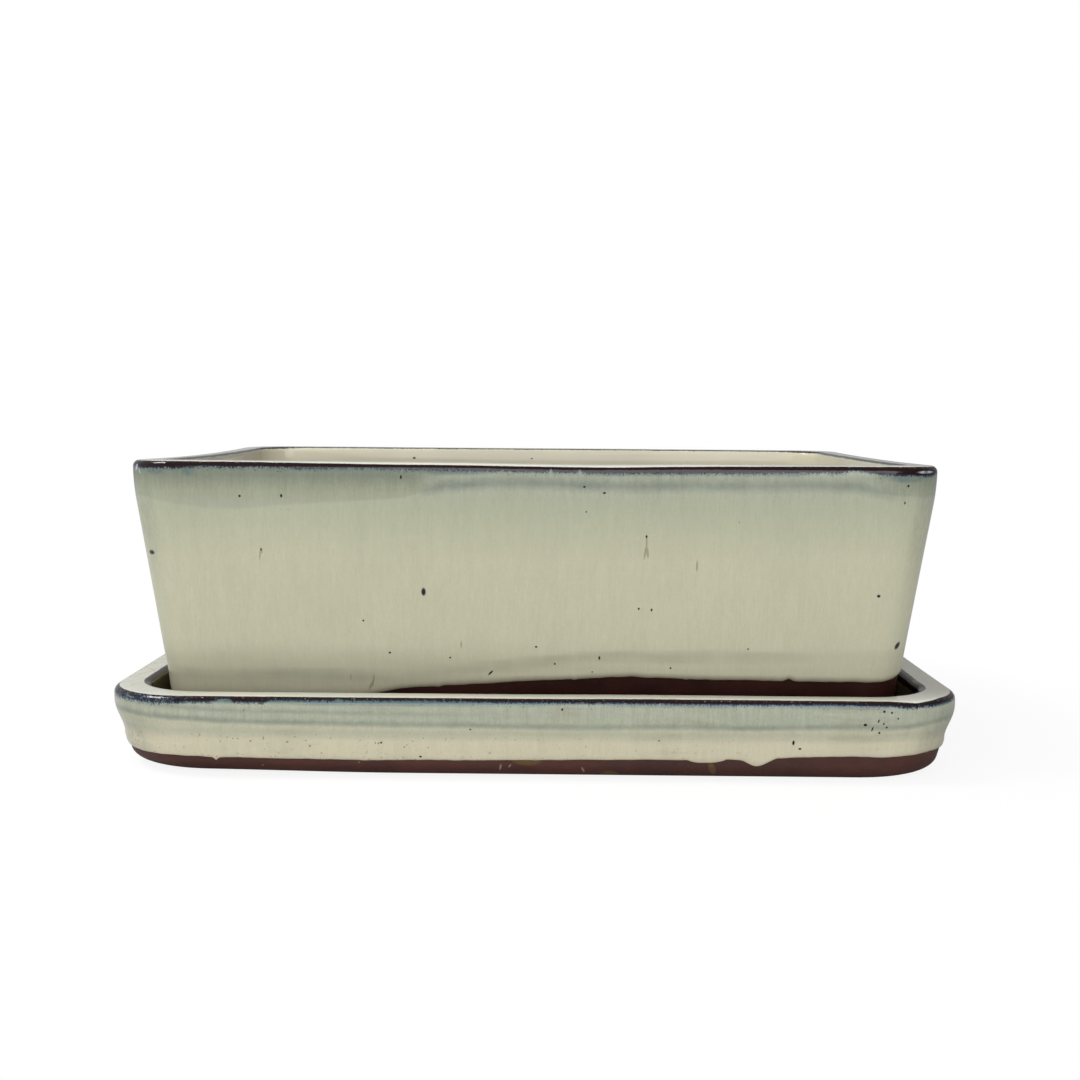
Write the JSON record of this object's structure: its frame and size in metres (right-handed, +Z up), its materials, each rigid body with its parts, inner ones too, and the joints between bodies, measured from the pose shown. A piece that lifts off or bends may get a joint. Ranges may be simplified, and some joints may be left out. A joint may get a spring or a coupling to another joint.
{
  "type": "bonsai pot with drip tray",
  "caption": "Rectangular glazed stoneware bonsai pot with drain holes and bracket feet, standing in a matching lipped drip tray.",
  "frame": {"origin": "middle of the tray's flat underside, on the surface that the set stands on", "axes": "+X along the pot's length, towards the right seen from the front; +Z up; the front looks along -Y"},
  "size_m": [0.324, 0.254, 0.1168],
  "materials": {
    "tray_clay": "unglazed dark red-brown stoneware, matt with a slight burnish",
    "tray_glaze": "glossy cream glaze that breaks to navy and brown along the lip",
    "pot_clay": "unglazed dark red-brown stoneware, matt",
    "pot_glaze": "glossy cream glaze that breaks to navy and brown along the rim"
  },
  "bodies": {
    "tray": {"tray_body": "tray_clay", "tray_glaze": "tray_glaze"},
    "pot": {"pot_body": "pot_clay", "pot_glaze": "pot_glaze"}
  },
  "joints": [
    {"name": "pot_lift", "type": "slide", "parent": "tray", "child": "pot", "axis": [0, 0, 1], "range_m": [0, 0.08]}
  ]
}
